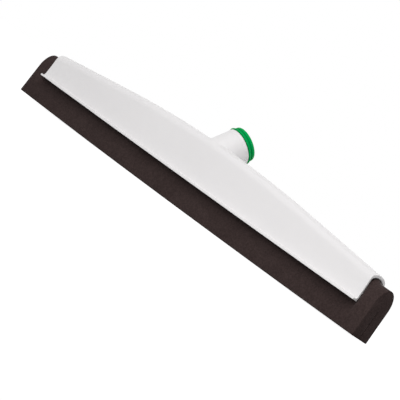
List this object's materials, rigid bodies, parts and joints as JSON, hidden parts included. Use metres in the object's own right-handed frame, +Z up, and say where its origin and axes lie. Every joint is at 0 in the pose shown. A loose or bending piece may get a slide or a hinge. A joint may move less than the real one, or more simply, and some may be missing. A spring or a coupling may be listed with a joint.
{
  "type": "floor squeegee head",
  "caption": "Floor squeegee head: arched white moulded frame, dark slit foam blade clamped along its lower edge, and a leaning handle socket with a green threaded insert.",
  "frame": {"origin": "on the floor, at the middle of the blade's length, in the plane of the slit between its two plies", "axes": "+X along the blade, +Y to the back, where the socket leans, and +Z up"},
  "size_m": [0.559, 0.0556, 0.096],
  "materials": {
    "white_plastic": "satin moulded polypropylene",
    "green_plastic": "smooth moulded plastic",
    "foam_rubber": "matt closed-cell foam"
  },
  "bodies": {
    "frame": {"frame": "white_plastic"},
    "insert": {"thread_insert": "green_plastic"},
    "blade": {"blade_head": "foam_rubber"},
    "front_ply": {"front_ply": "foam_rubber"},
    "rear_ply": {"rear_ply": "foam_rubber"}
  },
  "joints": [
    {"name": "blade_slide", "type": "slide", "parent": "frame", "child": "blade", "axis": [1, 0, 0], "range_m": [-0.52, 0.52]},
    {"name": "front_flex", "type": "hinge", "parent": "blade", "child": "front_ply", "pos_m": [0, -0.0058, 0.0205], "axis": [1, 0, 0], "range_deg": [-25, 25], "stiffness_Nm_per_rad": 3.2},
    {"name": "rear_flex", "type": "hinge", "parent": "blade", "child": "rear_ply", "pos_m": [0, 0.0058, 0.0205], "axis": [1, 0, 0], "range_deg": [-25, 25], "stiffness_Nm_per_rad": 3.2},
    {"name": "insert_pull", "type": "slide", "parent": "frame", "child": "insert", "axis": [0, 0.6468, 0.7627], "range_m": [0, 0.038]}
  ],
  "couplings": [
    {"joint": "rear_flex", "follows": "front_flex", "ratio": 1}
  ]
}
